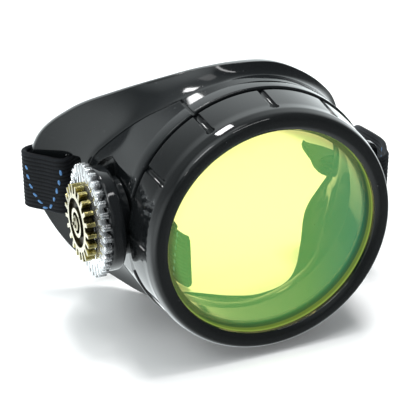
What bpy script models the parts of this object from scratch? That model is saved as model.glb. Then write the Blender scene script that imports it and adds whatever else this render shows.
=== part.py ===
# Single eye-cup goggle: moulded cup, screw ring with tinted lens, side vent knob with two toothed ornaments,
# and an elastic head strap. The lens looks along -Y, +Z is up, and the vent knob is on the -X side.
# The origin is the centre of the lens's front face. All lengths are in metres.
import math

import bmesh
import bpy
from mathutils import Matrix, Vector
from mathutils.geometry import interpolate_bezier

# Lens and the gaps between neighbours
clearance = 0.0003
lens_radius = 0.025
lens_thickness = 0.002
lens_bevel_depth = 0.0003
lens_bevel_margin = 0.0004
gasket_width = 0.0022
gasket_thickness = 0.0012

# Screw ring
lip_overlap = 0.001
lip_thickness = 0.0008
lip_bulge = 0.0008
ring_front_radius = 0.0274
ring_shoulder_radius = 0.0281
ring_rear_radius = 0.0289
ring_shoulder_depth = 0.0026
ring_length = 0.0110
ring_rounding = 0.0004
thread_clearance = 0.00035
groove_count = 12
groove_turn = math.radians(2.0)
groove_width = 0.0018
groove_dimple_width = 0.0024
groove_front_share = 0.34
groove_lift = 0.0001
groove_segments = 10
grip_overrun = 0.002

# Cup: threaded spigot, round collar, wall, flange and rim
wall = 0.0018
spigot_radius = 0.0264
collar_radius = 0.0293
collar_length = 0.0034
collar_gap = 0.0004
collar_rounding = 0.0005
rim_reach = 0.0404
cup_depth = 0.045
lip_reach = 0.0048
lip_depth = 0.0014
lip_round_share = 0.25
lip_heel_share = 0.6
lip_toe_share = 0.9
flare_curve_share = 1.5
cup_segments = 60
# Stations along the wall from the collar to the valley, and along the flange from the valley to the rim
wall_station_shares = (0.0, 0.35, 0.7)
flare_station_shares = (0.0, 0.25, 0.5, 0.75, 1.0)
# From the nose side (+X) over the brow (+Z), the temple (-X) and the cheek (-Z), one share every 15 degrees
rim_radius_shares = (.738, .755, .788, .776, .776, .790, .787, .790, .800, .834, .911, .990,
                     1.0, .957, .916, .868, .829, .751, .725, .751, .765, .735, .705, .710)
rim_depth_shares = (.569, .580, .589, .516, .458, .420, .418, .467, .562, .696, .844, .966,
                    1.0, .968, .893, .836, .667, .533, .433, .411, .409, .455, .610, .620)
valley_radius_shares = (.940, .960, .990, 1.0, 1.0, 1.005, 1.007, 1.012, 1.020, 1.005, .997, 1.034,
                        1.041, 1.041, 1.031, 1.010, .990, .973, .962, .962, .962, .956, .942, .928)
valley_depth_shares = (.440, .420, .400, .372, .356, .348, .347, .352, .378, .502, .636, .747,
                       .773, .751, .711, .640, .520, .420, .370, .355, .355, .370, .430, .450)
lip_width_shares = (.13, .13, .13, .13, .13, .13, .13, .13, .13, .13, .13, .08,
                    .08, .08, .13, .13, .13, .13, .13, .13, .20, .60, .30, .13)

# Side vent and its turning knob
vent_depth = 0.020
vent_height = 0.0
seat_inset = 0.0023
seat_radius = 0.013
seat_thickness = 0.0018
seat_border = 0.0012
bore_radius = 0.0046
knob_neck_radius = 0.0081
knob_neck_length = 0.0022
knob_radius = 0.0116
knob_length = 0.0034
knob_rounding = 0.0009
seal_ring_radius = 0.0064
seal_ring_thickness = 0.0012
stem_wall = 0.0025
stem_depth = 0.0032
snap_overhang = 0.0007
snap_length = 0.001
rivet_radius = 0.0011
rivet_head_radius = 0.0024
rivet_head_length = 0.0008

# Toothed ornaments
chrome_radius = 0.0126
chrome_root_radius = 0.0098
chrome_thickness = 0.0018
chrome_teeth = 30
chrome_land_share = 0.50
brass_radius = 0.0086
brass_root_radius = 0.0066
brass_thickness = 0.0020
brass_teeth = 21
brass_land_share = 0.46
groove_outer_radius = 0.0055
groove_inner_radius = 0.0033
eye_outer_radius = 0.0024
relief_depth = 0.0008
hub_radius = 0.0017
hub_length = 0.0009
dot_count = 3
dot_radius = 0.0004
dot_circle_share = 0.5
crown_share = 0.8
crown_drop_share = 0.25
gear_chamfer = 0.00015
# A tooth from root to tip, as (share of its height, half width as a share of its land)
tooth_shares = ((0.0, 0.5), (0.75, 0.46), (1.0, 0.26))

# Strap ears
strap_width = 0.0140
strap_thickness = 0.0012
slot_margin = 0.0004
temple_bar_width = 0.0086
valley_margin = 0.0015
nose_ear_stand = 0.0084
nose_ear_sink = 0.0028
nose_ear_drop = 0.0045
nose_ear_height = 0.0190
nose_ear_thickness = 0.0022
nose_bar_width = 0.0034
nose_slot_width = 0.0050
ear_corner = 0.0030

# Strap routes beyond the ears, as shares of how far the strap reaches to the side, to the back and down
strap_side = 0.058
strap_back = 0.112
strap_sample = 0.003
spline_handle_share = 1 / 6
# Round the temple bar: along the bar, gaps along and out from it, and depth behind the flange
temple_wrap_shares = ((0, -1.2, 0, 1), (0, -1, -1, 0), (0, .2, 1, 0), (.5, 0, 1, 0), (1, .3, 1, 0),
                      (1, 2.0, -.3, 0), (1, 2.2, 0, .5), (1, .4, -.4, 1))
# The tail behind the rim: strap widths to the temple, thicknesses behind the cheek rim, share of the way down
temple_tail_shares = ((.50, 10.0, .985), (.59, 12.6, .985), (.75, 16.7, .92), (1.11, 19.8, .65),
                      (1.54, 20.7, .34), (1.9, 19.8, .09))
# Round the nose bar: tail before the slot, then slot to bar edge, thicknesses out, ear front, thicknesses in front
nose_tail_shares = ((.78, 5.5, .0), (.90, 4.2, .08), (.97, 2.4, .17))
nose_wrap_shares = ((0, .4, 0, 0, .20), (0, 1.8, 1, 2, .20), (.72, 0, 1, 2.9, .20), (1, 1, 1, 1.6, .20),
                    (1, 2.1, 0, 0, .21))
nose_route_shares = ((.74, .27, .22), (.74, .36, .28), (.78, .45, .50), (.86, .55, .84), (.925, .66, 1.0),
                     (.955, .75, 1.0), (.965, .85, 1.0))
temple_route_shares = ((-.59, .447, .06), (-.51, .495, .24), (-.43, .55, .50), (-.37, .62, .76),
                       (-.335, .70, 1.0), (-.325, .79, 1.0), (-.325, .865, 1.0))
back_fold_shares = ((-.353, .76, 1.0), (-.353, .86, 1.0), (-.34, .90, 1.0), (-.285, .925, 1.0),
                    (-.225, .89, 1.0), (-.21, .81, 1.0), (-.20, .73, 1.0), (-.14, .69, 1.0),
                    (-.08, .73, 1.0), (-.07, .82, 1.0), (-.05, .91, 1.0), (.02, .965, .96), (.12, .995, .89))
back_turn_shares = ((.87, .985, .90), (.957, .935, .97), (.992, .86, 1.0), (.993, .80, 1.0), (.984, .74, 1.0))

# Strap slider
slider_height = 0.0204
slider_length = 0.0160
slider_thickness = 0.0014
slider_bar_width = 0.0030
slider_middle_share = 0.5
slider_corner = 0.0025
slider_window_margin = 0.0005
slider_travel = 0.006
slider_stations = 5

cut_overrun = 0.01
weld_distance = 0.00001
turn_segments = 72
knob_segments = 40
rivet_segments = 32

# Depths that follow from the sizes above
lip_rear = -clearance
ring_front = lip_rear - lip_thickness
ring_rear = ring_front + ring_length
gasket_front = lens_thickness + clearance
gasket_rear = gasket_front + gasket_thickness
spigot_front = gasket_rear + clearance
collar_front = ring_rear + collar_gap
collar_rear = collar_front + collar_length
pocket_radius = lens_radius + clearance
ring_bore_radius = spigot_radius + thread_clearance
seat_reach = collar_radius - seat_inset
floor_height = -collar_radius
nose_ear_root = rim_reach * rim_radius_shares[0] - nose_ear_sink
nose_ear_reach = rim_reach * rim_radius_shares[0] + nose_ear_stand


def clear_scene():
    for old in list(bpy.data.objects):
        bpy.data.objects.remove(old, do_unlink=True)


def new_collection(name):
    found = bpy.data.collections.new(name)
    bpy.context.scene.collection.children.link(found)
    return found


clear_scene()
parts = new_collection("eye_cup_goggle")
cutters = new_collection("cutters")


def finish(name, colour, roughness, metallic=0.0):
    made = bpy.data.materials.new(name)
    made.use_nodes = True
    shader = made.node_tree.nodes["Principled BSDF"]
    shader.inputs["Base Color"].default_value = (*colour, 1.0)
    shader.inputs["Roughness"].default_value = roughness
    shader.inputs["Metallic"].default_value = metallic
    return made


def place(mesh, name, material=None, matrix=None):
    made = bpy.data.objects.new(name, mesh)
    (cutters if material is None else parts).objects.link(made)
    if material is None:
        made.hide_render = True
        made.display_type = 'WIRE'
    else:
        mesh.materials.append(material)
    if matrix is not None:
        made.matrix_world = matrix
    return made


def mesh_from(name, points, edges=(), faces=()):
    mesh = bpy.data.meshes.new(name)
    mesh.from_pydata([tuple(point) for point in points], list(edges), list(faces))
    mesh.update()
    return mesh


# The axis of each turned piece: local +Z becomes -Y on the lens and -X on the vent
lens_axis = Matrix.Rotation(math.radians(90), 4, 'X')
vent_centre = Vector((0.0, vent_depth, vent_height))
vent_axis = Matrix.Translation(vent_centre) @ Matrix.Rotation(math.radians(-90), 4, 'Y')


def turned(name, profile, matrix, material=None, segments=turn_segments):
    """A closed (radius, height) profile, running down its outer side, swept round local Z."""
    count = len(profile)
    edges = [(i, (i + 1) % count) for i in range(count)]
    if profile[0][0] == 0 and profile[-1][0] == 0:
        edges.pop()
    mesh = mesh_from(name, [(radius, 0.0, height) for radius, height in profile], edges)
    made = place(mesh, name, material, matrix)
    sweep = made.modifiers.new("turn", 'SCREW')
    sweep.steps = segments
    sweep.render_steps = segments
    sweep.use_merge_vertices = True
    sweep.merge_threshold = weld_distance
    sweep.use_smooth_shade = True
    return made


def flat(name, outlines, thickness, matrix, chamfer=0.0):
    """A flat piece cut to closed outlines, thickness along local Z from zero up; returned as a mesh object."""
    shape = bpy.data.curves.new(name, 'CURVE')
    shape.dimensions = '2D'
    shape.fill_mode = 'BOTH'
    shape.extrude = thickness / 2 - chamfer
    shape.bevel_depth = chamfer
    shape.bevel_resolution = 0
    shape.offset = -chamfer
    for outline in outlines:
        spline = shape.splines.new('POLY')
        spline.points.add(len(outline) - 1)
        spline.use_cyclic_u = True
        for point, (x, y) in zip(spline.points, outline):
            point.co = (x, y, 0.0, 1.0)
    drawn = bpy.data.objects.new(name + "_outline", shape)
    cutters.objects.link(drawn)
    bpy.context.view_layer.update()
    mesh = bpy.data.meshes.new_from_object(drawn.evaluated_get(bpy.context.evaluated_depsgraph_get()))
    bpy.data.objects.remove(drawn)
    bpy.data.curves.remove(shape)
    solid = bmesh.new()
    solid.from_mesh(mesh)
    bmesh.ops.remove_doubles(solid, verts=solid.verts, dist=weld_distance / 10)
    bmesh.ops.translate(solid, verts=solid.verts, vec=(0.0, 0.0, thickness / 2))
    bmesh.ops.recalc_face_normals(solid, faces=solid.faces)
    solid.to_mesh(mesh)
    solid.free()
    return mesh, matrix


def box(name, low, high, matrix=None):
    """A cutter box between two corners, in the frame of matrix."""
    solid = bmesh.new()
    bmesh.ops.create_cube(solid, size=1.0)
    for vert in solid.verts:
        for axis in range(3):
            vert.co[axis] = low[axis] if vert.co[axis] < 0 else high[axis]
    mesh = bpy.data.meshes.new(name)
    solid.to_mesh(mesh)
    solid.free()
    return place(mesh, name, None, matrix)


def combine(made, other, operation, solver='EXACT'):
    step = made.modifiers.new(operation.lower(), 'BOOLEAN')
    step.operation = operation
    step.solver = solver
    step.object = other


def smooth(made, angle=30.0):
    made.data.shade_smooth()
    made.data.set_sharp_from_angle(angle=math.radians(angle))


def arc(centre, radius, start, end, steps):
    """Points on an arc in the (radius, height) plane, angles in degrees."""
    turn = [math.radians(start + (end - start) * i / steps) for i in range(steps + 1)]
    return [(centre[0] + radius * math.cos(a), centre[1] + radius * math.sin(a)) for a in turn]


def around(shares, angle):
    """Smooth periodic curve through a row of shares spaced evenly round the circle."""
    place_on_row = angle / (2 * math.pi) * len(shares)
    first = math.floor(place_on_row)
    part = place_on_row - first
    before, here, after, beyond = (shares[(first + k) % len(shares)] for k in (-1, 0, 1, 2))
    slope_in = (after - before) / 2
    slope_out = (beyond - here) / 2
    return ((2 * part**3 - 3 * part**2 + 1) * here + (part**3 - 2 * part**2 + part) * slope_in
            + (-2 * part**3 + 3 * part**2) * after + (part**3 - part**2) * slope_out)


def rim_at(angle):
    return rim_reach * around(rim_radius_shares, angle), cup_depth * around(rim_depth_shares, angle)


def valley_at(angle):
    return collar_radius * around(valley_radius_shares, angle), cup_depth * around(valley_depth_shares, angle)


def cup_outer_line(angle):
    """Wall and flange at one angle, as (radius, depth) from behind the collar to the rim."""
    valley = valley_at(angle)
    rim = rim_at(angle)
    shoulder = (collar_radius - collar_rounding, collar_rear)
    line = [tuple(a + (b - a) * share for a, b in zip(shoulder, valley)) for share in wall_station_shares]
    for share in flare_station_shares:
        flare = share**flare_curve_share
        line.append((valley[0] + (rim[0] - valley[0]) * flare, valley[1] + (rim[1] - valley[1]) * share))
    return line


def cup_inner_line(outer):
    """The outer line set in by the wall, square to itself."""
    line = []
    for k, (radius, depth) in enumerate(outer):
        before = outer[max(k - 1, 0)]
        after = outer[min(k + 1, len(outer) - 1)]
        across = after[0] - before[0]
        back = after[1] - before[1]
        length = math.hypot(across, back)
        line.append((radius - wall * back / length, depth + wall * across / length))
    return line


def cup_section(angle):
    """The cup's whole cut at one angle: outside from the spigot to the rim, lip, and inside back again."""
    step = (spigot_radius + collar_radius) / 2
    front = [(spigot_radius - collar_rounding, spigot_front), (spigot_radius, spigot_front + collar_rounding),
             (spigot_radius, collar_front), (step, collar_front),
             (collar_radius - collar_rounding, collar_front), (collar_radius, collar_front + collar_rounding),
             (collar_radius, collar_rear - collar_rounding)]
    outer = cup_outer_line(angle)
    inner = cup_inner_line(outer)
    share = around(lip_width_shares, angle)
    deep = lip_depth * math.sqrt(share)
    edge = inner[-1]
    lip = (edge[0] - lip_reach * share, edge[1])
    rim = [(outer[-1][0] - deep * lip_round_share, edge[1] + deep * lip_heel_share),
           ((outer[-1][0] + edge[0]) / 2, edge[1] + deep),
           (lip[0] + deep * lip_round_share, lip[1] + deep * lip_toe_share), lip]
    spigot_inner = spigot_radius - wall
    rear = [(collar_radius - wall, collar_front + wall), (step - wall, collar_front + wall),
            (spigot_inner, collar_front + wall), (spigot_inner, spigot_front)]
    return front + outer + rim + list(reversed(inner)) + rear


def lofted_cup(material):
    points = []
    faces = []
    rows = len(cup_section(0.0))
    for i in range(cup_segments):
        angle = 2 * math.pi * i / cup_segments
        points += [(r * math.cos(angle), depth, r * math.sin(angle)) for r, depth in cup_section(angle)]
        here = i * rows
        after = ((i + 1) % cup_segments) * rows
        for k in range(rows):
            n = (k + 1) % rows
            faces.append((here + k, here + n, after + n, after + k))
    return place(mesh_from("cup_shell", points, (), faces), "cup_shell", material)


def rounded_rectangle(low, high, corner, steps=4):
    centres = ((high[0] - corner, high[1] - corner, 0), (low[0] + corner, high[1] - corner, 90),
               (low[0] + corner, low[1] + corner, 180), (high[0] - corner, low[1] + corner, 270))
    points = []
    for x, y, start in centres:
        points += arc((x, y), corner, start, start + 90, steps)
    return points


def cup_shell(material):
    made = lofted_cup(material)
    slot_half = strap_width / 2 + slot_margin

    # Flat seat of the side vent, on a pad that stays inside the wall and behind the collar's front
    pad_radius = seat_radius + seat_border
    pad_low = seat_reach - seat_thickness
    pad = turned("vent_pad", [(0.0, rim_reach), (pad_radius, rim_reach), (pad_radius, pad_low), (0.0, pad_low)],
                 vent_axis, None, knob_segments)
    within = collar_radius - wall / 2
    trim = turned("pad_trim", [(0.0, -collar_front - collar_rounding), (within, -collar_front - collar_rounding),
                               (within, -cup_depth), (0.0, -cup_depth)], lens_axis, None, cup_segments)
    combine(pad, trim, 'INTERSECT')
    combine(made, pad, 'UNION')
    recess = turned("vent_recess", [(0.0, rim_reach), (seat_radius, rim_reach), (seat_radius, seat_reach),
                                    (0.0, seat_reach)], vent_axis, None, knob_segments)
    recess_trim = box("recess_trim", (-rim_reach - cut_overrun, valley_at(math.pi)[1], -collar_radius),
                      (0.0, cup_depth, collar_radius))
    combine(recess, recess_trim, 'DIFFERENCE')
    combine(made, recess, 'DIFFERENCE', 'MANIFOLD')
    bore = turned("vent_bore", [(0.0, rim_reach), (bore_radius, rim_reach), (bore_radius, pad_low - cut_overrun),
                                (0.0, pad_low - cut_overrun)], vent_axis, None, knob_segments)
    combine(made, bore, 'DIFFERENCE', 'MANIFOLD')

    # Temple slot, cut square through the flange between its valley and its bar
    rim_radius, rim_depth = rim_at(math.pi)
    valley_radius, valley_depth = valley_at(math.pi)
    run = Vector((-(rim_radius - valley_radius), rim_depth - valley_depth, 0.0))
    slope = Matrix.Translation((-valley_radius, valley_depth, 0.0)) @ Matrix.Rotation(
        math.atan2(run.y, run.x), 4, 'Z')
    slot = box("temple_slot", (valley_margin, -cut_overrun / 2, -slot_half),
               (run.length - temple_bar_width, cut_overrun / 2, slot_half), slope)
    combine(made, slot, 'DIFFERENCE', 'MANIFOLD')

    # Nose ear: a flat loop that stands out from the rim, with its own slot
    ear_rear = rim_at(0.0)[1]
    ear_frame = Matrix.Translation((0.0, ear_rear, -nose_ear_drop)) @ lens_axis
    half_height = nose_ear_height / 2
    outer = rounded_rectangle((nose_ear_root, -half_height), (nose_ear_reach, half_height), ear_corner)
    slot_end = nose_ear_reach - nose_bar_width
    inner = rounded_rectangle((slot_end - nose_slot_width, -slot_half), (slot_end, slot_half), ear_corner / 4)
    mesh, matrix = flat("nose_ear", (outer, inner), nose_ear_thickness, ear_frame, gear_chamfer)
    combine(made, place(mesh, "nose_ear", None, matrix), 'UNION', 'MANIFOLD')
    smooth(made)
    return made


def screw_ring(material):
    bulge = ring_front - lip_bulge
    lip_radius = lens_radius - lip_overlap
    middle = (lip_radius + ring_front_radius) / 2
    profile = [(lip_radius, -lip_rear), (lip_radius, -ring_front),
               (lip_radius + lip_bulge / 2, -(ring_front + bulge) / 2 + lip_bulge / 4),
               (middle - lip_bulge, -bulge), (middle + lip_bulge / 2, -bulge),
               (ring_front_radius - ring_rounding, -ring_front + ring_rounding / 2),
               (ring_front_radius, -ring_front - ring_rounding),
               (ring_shoulder_radius - ring_rounding / 2, -ring_shoulder_depth + ring_rounding),
               (ring_shoulder_radius, -ring_shoulder_depth - ring_rounding),
               (ring_rear_radius, -ring_rear + ring_rounding), (ring_rear_radius - ring_rounding, -ring_rear),
               (ring_bore_radius, -ring_rear), (ring_bore_radius, -gasket_rear),
               (pocket_radius, -gasket_rear), (pocket_radius, -lip_rear)]
    made = turned("screw_ring", profile, lens_axis, material)
    combine(made, grip_grooves(), 'DIFFERENCE')
    smooth(made)
    return made


def grip_grooves():
    """Round-bottomed grooves that follow the ring's taper and end in a deeper dimple."""
    half = groove_width / 2
    dimple = groove_dimple_width / 2
    front = ring_front + ring_length * groove_front_share
    taper = math.atan2(ring_rear_radius - ring_shoulder_radius, ring_rear - ring_shoulder_depth)
    length = ring_rear - front + grip_overrun
    profile = arc((0.0, 0.0), dimple, 90, 0, 3) + [(half, -dimple), (half, -length), (0.0, -length)]
    steps = groove_segments
    points = []
    faces = []
    at_front = ring_shoulder_radius + (front - ring_shoulder_depth) * math.tan(taper)
    for copy in range(groove_count):
        turn = math.radians(90) - groove_turn + 2 * math.pi * copy / groove_count
        stand = (Matrix.Rotation(-turn, 4, 'Y') @ Matrix.Translation((at_front + groove_lift, front, 0.0))
                 @ Matrix.Rotation(-taper, 4, 'Z') @ lens_axis)
        base = len(points)
        rows = len(profile) - 2
        points.append(stand @ Vector((0.0, 0.0, profile[0][1])))
        for radius, height in profile[1:-1]:
            for k in range(steps):
                a = 2 * math.pi * k / steps
                points.append(stand @ Vector((radius * math.cos(a), radius * math.sin(a), height)))
        points.append(stand @ Vector((0.0, 0.0, profile[-1][1])))
        last = len(points) - 1
        for k in range(steps):
            n = (k + 1) % steps
            faces.append((base, base + 1 + k, base + 1 + n))
            for row in range(rows - 1):
                a = base + 1 + row * steps
                faces.append((a + k, a + steps + k, a + steps + n, a + n))
            a = base + 1 + (rows - 1) * steps
            faces.append((last, a + n, a + k))
    return place(mesh_from("grip_grooves", points, (), faces), "grip_grooves")


def tint_lens(material):
    face_radius = lens_radius - lip_overlap - lens_bevel_margin
    profile = [(0.0, 0.0), (face_radius, 0.0), (lens_radius, -lens_bevel_depth),
               (lens_radius, -lens_thickness), (0.0, -lens_thickness)]
    made = turned("tint_lens", profile, lens_axis, material)
    smooth(made)
    return made


def lens_gasket(material):
    inner = lens_radius - gasket_width
    profile = [(inner, -gasket_front), (lens_radius, -gasket_front), (lens_radius, -gasket_rear),
               (inner, -gasket_rear)]
    made = turned("lens_gasket", profile, lens_axis, material)
    smooth(made)
    return made


# The knob's stack along the vent axis, as distances out from the cup's middle
neck_start = seat_reach + clearance
disc_start = neck_start + knob_neck_length
disc_end = disc_start + knob_length
chrome_start = disc_end + clearance
chrome_end = chrome_start + chrome_thickness
brass_start = chrome_end + clearance
brass_end = brass_start + brass_thickness
stem_radius = bore_radius - clearance
stem_top = neck_start + stem_depth
stem_bore_radius = stem_radius - stem_wall
snap_start = seat_reach - seat_thickness - clearance
snap_end = snap_start - snap_length


def vent_knob(material):
    pocket = stem_radius + clearance
    groove_low = seal_ring_radius - seal_ring_thickness / 2 - clearance
    groove_high = seal_ring_radius + seal_ring_thickness / 2 + clearance
    groove_top = neck_start + seal_ring_thickness + clearance
    rivet_hole = rivet_radius + clearance
    profile = ([(rivet_hole, disc_end)]
               + arc((knob_radius - knob_rounding, disc_end - knob_rounding), knob_rounding, 90, 0, 3)
               + [(knob_radius, disc_start + knob_rounding), (knob_radius - knob_rounding, disc_start),
                  (knob_neck_radius, disc_start), (knob_neck_radius, neck_start),
                  (groove_high, neck_start), (groove_high, groove_top), (groove_low, groove_top),
                  (groove_low, neck_start), (pocket, neck_start), (pocket, stem_top + clearance),
                  (rivet_hole, stem_top + clearance)])
    made = turned("vent_knob", profile, vent_axis, material, knob_segments)
    smooth(made)
    return made


def vent_seal(material):
    half = seal_ring_thickness / 2
    centre = (seal_ring_radius, neck_start + half)
    profile = arc(centre, half, 90, -225, 7)
    made = turned("vent_seal", profile, vent_axis, material, knob_segments)
    smooth(made, 60.0)
    return made


def snap_stem(material):
    flare = stem_radius + snap_overhang + clearance
    profile = [(stem_bore_radius, stem_top), (stem_radius, stem_top), (stem_radius, snap_start),
               (flare, snap_start), (stem_radius, snap_end), (stem_bore_radius, snap_end)]
    made = turned("snap_stem", profile, vent_axis, material, knob_segments)
    smooth(made)
    return made


def gear_outline(root, tip, teeth, land_share):
    """Tapered teeth with rounded tips, as a closed outline."""
    points = []
    pitch = 2 * math.pi / teeth
    stations = [(root + (tip - root) * height, pitch * land_share * width) for height, width in tooth_shares]
    for tooth in range(teeth):
        middle = tooth * pitch
        left = [(r, middle - half) for r, half in stations]
        right = [(r, middle + half) for r, half in reversed(stations)]
        points += [(r * math.cos(a), r * math.sin(a)) for r, a in left + right]
    return points


def ring_outline(radius, steps=24):
    return [(radius * math.cos(2 * math.pi * k / steps), radius * math.sin(2 * math.pi * k / steps))
            for k in range(steps)]


def chrome_gear(material):
    hole = rivet_radius + clearance
    outline = gear_outline(chrome_root_radius, chrome_radius, chrome_teeth, chrome_land_share)
    mesh, matrix = flat("chrome_gear", (outline, ring_outline(hole)), chrome_thickness,
                        vent_axis @ Matrix.Translation((0.0, 0.0, chrome_start)), gear_chamfer)
    made = place(mesh, "chrome_gear", material, matrix)
    smooth(made)
    return made


def brass_gear(material):
    hole = rivet_radius + clearance
    outline = gear_outline(brass_root_radius, brass_radius, brass_teeth, brass_land_share)
    mesh, matrix = flat("brass_gear", (outline, ring_outline(hole)), brass_thickness,
                        vent_axis @ Matrix.Translation((0.0, 0.0, brass_start)), gear_chamfer)
    made = place(mesh, "brass_gear", material, matrix)
    floor = brass_end - relief_depth
    top = brass_end + cut_overrun
    annulus = turned("brass_annulus", [(groove_inner_radius, top), (groove_outer_radius, top),
                                       (groove_outer_radius, floor), (groove_inner_radius, floor)],
                     vent_axis, None, knob_segments)
    combine(made, annulus, 'DIFFERENCE')
    eye = turned("brass_eye", [(0.0, top), (eye_outer_radius, top), (eye_outer_radius, floor), (0.0, floor)],
                 vent_axis, None, knob_segments)
    combine(made, eye, 'DIFFERENCE')
    smooth(made)
    return made


def gear_rivet(material):
    """Rivet through both ornaments, the knob and the stem, with a domed hub that carries three dots."""
    hub_start = brass_end - relief_depth + clearance
    hub_end = hub_start + hub_length
    tail_start = snap_end - clearance
    tail_end = tail_start - rivet_head_length
    profile = [(0.0, hub_end), (hub_radius * crown_share, hub_end),
               (hub_radius, hub_end - hub_length * crown_drop_share), (hub_radius, hub_start),
               (rivet_radius, hub_start), (rivet_radius, tail_start),
               (rivet_head_radius, tail_start), (rivet_head_radius * crown_share, tail_end), (0.0, tail_end)]
    made = turned("gear_rivet", profile, vent_axis, material, rivet_segments)
    ring = hub_radius * dot_circle_share
    for dot in range(dot_count):
        turn = 2 * math.pi * dot / dot_count
        solid = bmesh.new()
        bmesh.ops.create_uvsphere(solid, u_segments=10, v_segments=6, radius=dot_radius)
        mesh = bpy.data.meshes.new("hub_dot_%d" % dot)
        solid.to_mesh(mesh)
        solid.free()
        spot = vent_axis @ Matrix.Translation((ring * math.cos(turn), ring * math.sin(turn), hub_end))
        combine(made, place(mesh, "hub_dot_%d" % dot, None, spot), 'UNION')
    smooth(made)
    return made


floor_drop = floor_height + strap_width / 2


def smooth_route(points):
    """A Catmull-Rom curve through the route's points, sampled at even steps."""
    points = [Vector(point) for point in points]
    ends = [2 * points[0] - points[1]] + points + [2 * points[-1] - points[-2]]
    route = []
    for before, here, after, beyond in zip(ends, ends[1:], ends[2:], ends[3:]):
        steps = max(1, round((after - here).length / strap_sample))
        leaving = here + (after - before) * spline_handle_share
        arriving = after - (beyond - here) * spline_handle_share
        route += interpolate_bezier(here, leaving, arriving, after, steps + 1)[:-1]
    return route + [points[-1]]


def webbing(name, points, material):
    """A strap of webbing on edge along a route: a lofted strip, square to the route, made thick."""
    route = smooth_route(points)
    verts = []
    faces = []
    for k, point in enumerate(route):
        tangent = (route[min(k + 1, len(route) - 1)] - route[max(k - 1, 0)]).normalized()
        across = (Vector((0.0, 0.0, 1.0)) - tangent * tangent.z).normalized() * strap_width / 2
        verts += [point - across, point + across]
        if k:
            faces.append((2 * k - 2, 2 * k, 2 * k + 1, 2 * k - 1))
    made = place(mesh_from(name, verts, (), faces), name, material)
    thick = made.modifiers.new("thickness", 'SOLIDIFY')
    thick.thickness = strap_thickness
    thick.offset = 0.0
    thick.use_even_offset = True
    smooth(made, 60.0)
    return made


def on_floor(shares):
    return [(x * strap_side, y * strap_back, z * floor_drop) for x, y, z in shares]


def temple_webbing(material):
    """Tail inside the rim, round the temple bar and back towards the lap."""
    rim_radius, rim_depth = rim_at(math.pi)
    valley_radius, valley_depth = valley_at(math.pi)
    valley = Vector((-valley_radius, valley_depth, 0.0))
    along = Vector((valley_radius - rim_radius, rim_depth - valley_depth, 0.0))
    run = along.length
    along.normalize()
    outward = Vector((-along.y, along.x, 0.0))
    gap = clearance + strap_thickness / 2
    inner = wall + lip_depth + gap
    bar = run - temple_bar_width
    around_bar = [valley + along * (bar + temple_bar_width * edge + gap * on)
                  + outward * (gap * out - inner * inside) for edge, on, out, inside in temple_wrap_shares]
    cheek_depth = rim_at(math.pi * 1.5)[1]
    tail = [(-strap_width * side, cheek_depth + strap_thickness * back, floor_drop * down)
            for side, back, down in temple_tail_shares]
    return webbing("temple_webbing", tail + around_bar + on_floor(temple_route_shares), material)


def nose_webbing(material):
    """Tail inside the rim, a loose turn round the nose bar and down towards the lap."""
    ear_rear = rim_at(0.0)[1]
    ear_middle = ear_rear - nose_ear_thickness / 2
    slot_middle = nose_ear_reach - nose_bar_width - nose_slot_width / 2
    over_bar = nose_ear_reach - slot_middle
    tail = [(slot_middle * side, ear_rear + strap_thickness * back, floor_drop * down)
            for side, back, down in nose_tail_shares]
    turn = [(slot_middle + over_bar * over + strap_thickness * out,
             ear_middle - nose_ear_thickness / 2 * ear - strap_thickness * front, floor_drop * down)
            for over, out, ear, front, down in nose_wrap_shares]
    return webbing("nose_webbing", tail + turn + on_floor(nose_route_shares), material)


def slider_place():
    """Middle of the straight run that the slider moves along."""
    left = back_fold_shares[-1]
    right = back_turn_shares[0]
    return Vector(((left[0] + right[0]) / 2 * strap_side, strap_back, floor_height + slider_height / 2))


def back_elastic(material):
    middle = slider_place()
    reach = Vector((slider_length / 2 + slider_travel + clearance, 0.0, 0.0))
    straight = [(middle - reach).lerp(middle + reach, k / slider_stations) for k in range(slider_stations + 1)]
    return webbing("back_elastic", on_floor(back_fold_shares) + straight + on_floor(back_turn_shares), material)


def strap_slider(material):
    """Frame in front of the elastic with a middle bar that bridges behind it."""
    middle = slider_place()
    front = strap_thickness / 2 + clearance
    frame = Matrix.Translation(middle - Vector((0.0, front, 0.0))) @ lens_axis
    half = Vector((slider_length / 2, slider_height / 2))
    window = Vector((half.x - slider_bar_width, strap_width / 2 + slider_window_margin))
    mesh, matrix = flat("strap_slider", (rounded_rectangle(-half, half, slider_corner),
                                         rounded_rectangle(-window, window, slider_window_margin)),
                        slider_thickness, frame, gear_chamfer)
    made = place(mesh, "strap_slider", material, matrix)
    # The bridge is a C seen from the end of the strap, pulled along the strap
    rail = (half.y - slider_window_margin, window.y)
    depth = (-(front + slider_thickness / 2), front, front + slider_thickness)
    outline = [(depth[0], rail[0]), (depth[2], rail[0]), (depth[2], -rail[0]), (depth[0], -rail[0]),
               (depth[0], -rail[1]), (depth[1], -rail[1]), (depth[1], rail[1]), (depth[0], rail[1])]
    width = slider_length * slider_middle_share / 2
    stand = Matrix.Translation(middle - Vector((width / 2, 0.0, 0.0))) @ Matrix(
        ((0.0, 0.0, 1.0, 0.0), (1.0, 0.0, 0.0, 0.0), (0.0, 1.0, 0.0, 0.0), (0.0, 0.0, 0.0, 1.0)))
    mesh, matrix = flat("slider_bridge", (outline,), width, stand, gear_chamfer)
    combine(made, place(mesh, "slider_bridge", None, matrix), 'UNION')
    smooth(made)
    return made


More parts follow.
